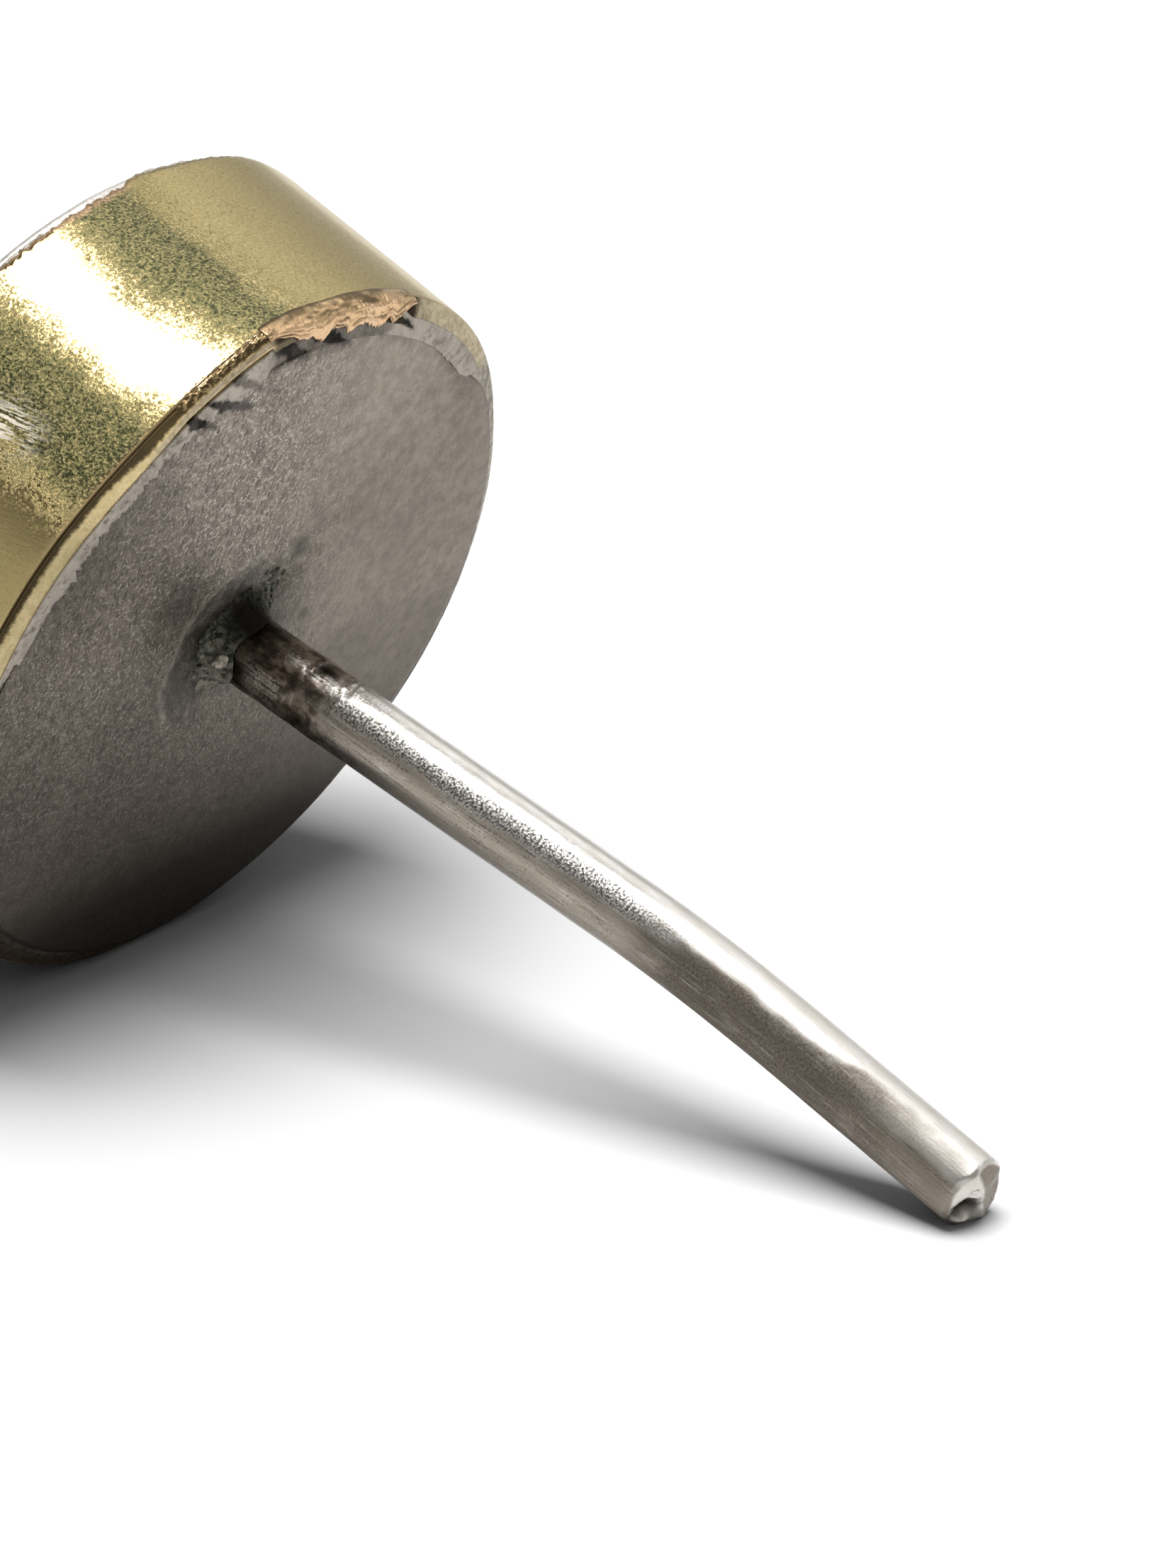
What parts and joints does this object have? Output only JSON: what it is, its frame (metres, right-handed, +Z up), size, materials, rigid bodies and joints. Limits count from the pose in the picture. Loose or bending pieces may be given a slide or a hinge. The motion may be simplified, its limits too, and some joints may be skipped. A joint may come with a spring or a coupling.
{
  "type": "stud earring",
  "caption": "Stud earring with a short brass-walled drum head, a darkened silver back plate and a soldered, slightly bent silver wire post, lying on its rim and post tip.",
  "frame": {"origin": "on the table, under the middle of the stud's bounding box as it lies on the rear rim of its head and the tip of its post", "axes": "+Z up; +X level, from the head towards the tip of the post; the head's axis dips 18.9 degrees from +X and lies in the XZ plane"},
  "size_m": [0.0156, 0.0096, 0.0099],
  "materials": {
    "brass": "polished by hand, mottled with tarnish, filed along the rear edge",
    "darkened_silver": "matte oxidised silver with fine slanted brushing",
    "front_silver": "satin silver",
    "silver_wire": "drawn silver wire, bright on top, tarnished brown below and near the solder",
    "solder": "rough grey silver solder",
    "burnt_solder": "burnt dark solder with green-black deposits"
  },
  "bodies": {
    "root": {"brass_band": "brass", "band_seam_solder": "solder", "back_plate": "darkened_silver", "front_plate": "front_silver", "rear_seam_solder": "solder", "front_seam_solder": "solder", "ear_post": "silver_wire", "post_solder": "burnt_solder"}
  },
  "joints": []
}
